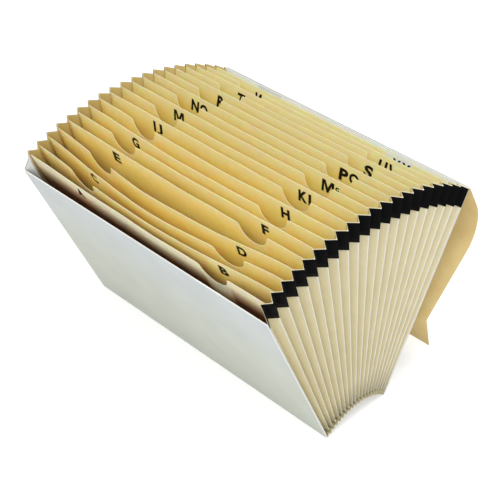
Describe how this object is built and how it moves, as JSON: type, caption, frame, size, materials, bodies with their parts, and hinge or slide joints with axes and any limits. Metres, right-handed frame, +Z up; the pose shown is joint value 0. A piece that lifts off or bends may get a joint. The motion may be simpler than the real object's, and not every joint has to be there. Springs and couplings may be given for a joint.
{
  "type": "expanding file",
  "caption": "Expanding file with alphabetical index dividers, pleated side gussets edged in black tape and a curved cover flap, fanned open on its covers' bottom edges.",
  "frame": {"origin": "under the middle of the object's box, on the surface that both covers' bottom edges stand on", "axes": "+X across the file to the right as its front cover is seen, +Y from the front cover to the rear cover, +Z up"},
  "size_m": [0.3832, 0.3398, 0.2742],
  "materials": {
    "white_board": "matte",
    "manila": "matte",
    "gusset_paper": "matte",
    "bottom_paper": "matte",
    "black_tape": "matte",
    "flap_card": "matte"
  },
  "bodies": {
    "file": {"front_cover": "white_board", "rear_cover": "white_board", "bottom_bellows": "bottom_paper", "gusset_left": "gusset_paper", "gusset_right": "gusset_paper", "tape_left": "black_tape", "tape_right": "black_tape", "divider_a": "manila", "divider_b": "manila", "divider_c": "manila", "divider_d": "manila", "divider_e": "manila", "divider_f": "manila", "divider_g": "manila", "divider_h": "manila", "divider_ij": "manila", "divider_kl": "manila", "divider_m": "manila", "divider_mc": "manila", "divider_no": "manila", "divider_pq": "manila", "divider_r": "manila", "divider_s": "manila", "divider_t": "manila", "divider_uv": "manila", "divider_w": "manila", "divider_xyz": "manila"},
    "flap": {"flap": "flap_card"}
  },
  "joints": [
    {"name": "flap_hinge", "type": "hinge", "parent": "file", "child": "flap", "pos_m": [0, 0.14621, 0.22616], "axis": [1, 0, 0], "range_deg": [0, 200]}
  ]
}
